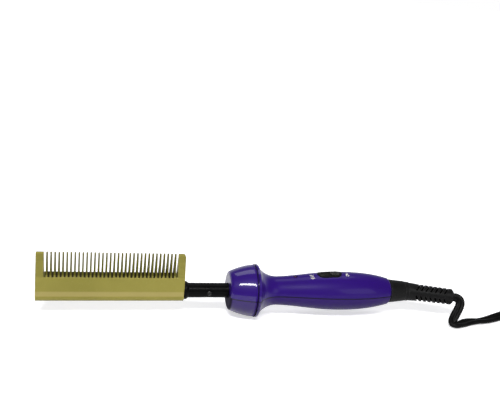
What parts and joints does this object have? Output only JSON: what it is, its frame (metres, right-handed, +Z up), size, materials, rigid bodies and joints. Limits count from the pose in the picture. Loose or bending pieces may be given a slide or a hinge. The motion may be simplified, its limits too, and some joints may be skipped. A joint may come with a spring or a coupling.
{
  "type": "electric pressing comb",
  "caption": "Electric hot comb with a slotted metal comb head on a thin stem, a waisted moulded handle with slide switch, ribbed strain relief and flat mains cord.",
  "frame": {"origin": "middle of the object's own bounding box (cord and plug left out), on the surface that it stands on", "axes": "+X along the handle from the comb head's nose to the strain relief, +Z up, which is the way the teeth point, +Y to the side away from the stem rivet"},
  "size_m": [0.5221, 0.0538, 0.0456],
  "materials": {
    "gold_plate": "satin plated",
    "ceramic": "sintered alumina",
    "bare_aluminium": "machined",
    "mica": "mica sheet",
    "sensor_glass": "glass bead",
    "black_enamel": "satin baked enamel",
    "steel": "plain",
    "phenolic": "moulded phenolic",
    "wire_white": "woven glass sleeve",
    "wire_red": "silicone insulation",
    "purple_plastic": "satin gloss moulded",
    "board_green": "solder mask",
    "component_black": "moulded",
    "component_yellow": "film capacitor case",
    "resistor_tan": "lacquered",
    "led_red": "tinted clear resin",
    "black_plastic": "moulded",
    "lever_white": "moulded nylon",
    "contact_brass": "plain",
    "black_rubber": "soft satin"
  },
  "bodies": {
    "comb": {"comb_head": "gold_plate", "heater_plate": "ceramic", "heater_shoes": "bare_aluminium", "mica_sheets": "mica", "temperature_sensor": "sensor_glass", "head_collar": "black_enamel", "stem_tube": "black_enamel", "stem_rivet": "black_enamel", "stem_holder": "phenolic", "thermal_fuse": "steel", "heater_wires": "wire_white", "sensor_wires": "wire_red", "handle_upper_shell": "purple_plastic", "handle_lower_shell": "purple_plastic", "handle_screw": "steel", "circuit_board": "board_green", "board_screws": "steel", "triac": "component_black", "film_capacitor": "component_yellow", "resistors": "resistor_tan", "indicator_led": "led_red", "switch_plate": "black_plastic", "switch_body": "component_black", "brush_contacts": "contact_brass", "mains_leads": "black_rubber", "power_cord": "black_rubber", "cord_coil": "black_rubber", "cord_tie": "black_plastic", "plug_tail": "black_rubber", "plug_body": "black_rubber", "plug_blades": "contact_brass"},
    "switch_slider_body": {"switch_slider": "black_plastic", "switch_lever": "lever_white"},
    "cord_swivel": {"swivel_core": "lever_white", "slip_rings": "contact_brass", "strain_relief": "black_rubber"}
  },
  "joints": [
    {"name": "switch_slide", "type": "slide", "parent": "comb", "child": "switch_slider_body", "axis": [1, 0, 0], "range_m": [-0.0065, 0]},
    {"name": "cord_swivel_turn", "type": "hinge", "parent": "comb", "child": "cord_swivel", "pos_m": [0.09415, 0, 0.0186], "axis": [1, 0, 0], "continuous": true}
  ]
}
